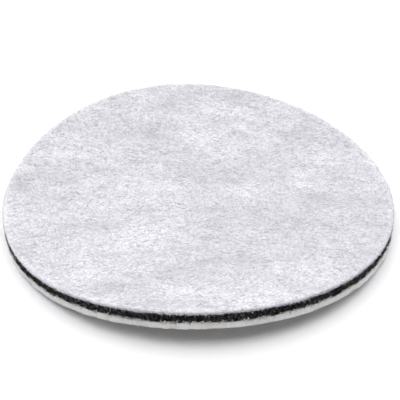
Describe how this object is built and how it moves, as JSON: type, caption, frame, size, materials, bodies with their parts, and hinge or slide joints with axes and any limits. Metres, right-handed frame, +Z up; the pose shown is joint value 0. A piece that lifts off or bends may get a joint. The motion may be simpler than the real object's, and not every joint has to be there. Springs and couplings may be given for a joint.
{
  "type": "felt polishing wheel",
  "caption": "Round laminated hook-and-loop polishing disc: white felt face, black foam core and cream loop backing, curled up at front and back.",
  "frame": {"origin": "middle of the underside of the loop backing cloth, on the surface that the disc lies on", "axes": "+Z up, out of the white felt face; +X along the flat strip that the disc rests on; the rim curls up towards +Y and -Y"},
  "size_m": [0.125, 0.125, 0.0118],
  "materials": {
    "polishing_felt": "matte needle felt, lightly raised nap",
    "adhesive_film": "dull hot-melt film",
    "black_foam": "matte open-cell foam, cut edge",
    "loop_cloth": "matte brushed loop cloth"
  },
  "bodies": {
    "root": {"polishing_felt": "polishing_felt", "felt_adhesive_film": "adhesive_film", "foam_core": "black_foam", "backing_adhesive_film": "adhesive_film", "loop_backing_cloth": "loop_cloth"}
  },
  "joints": []
}
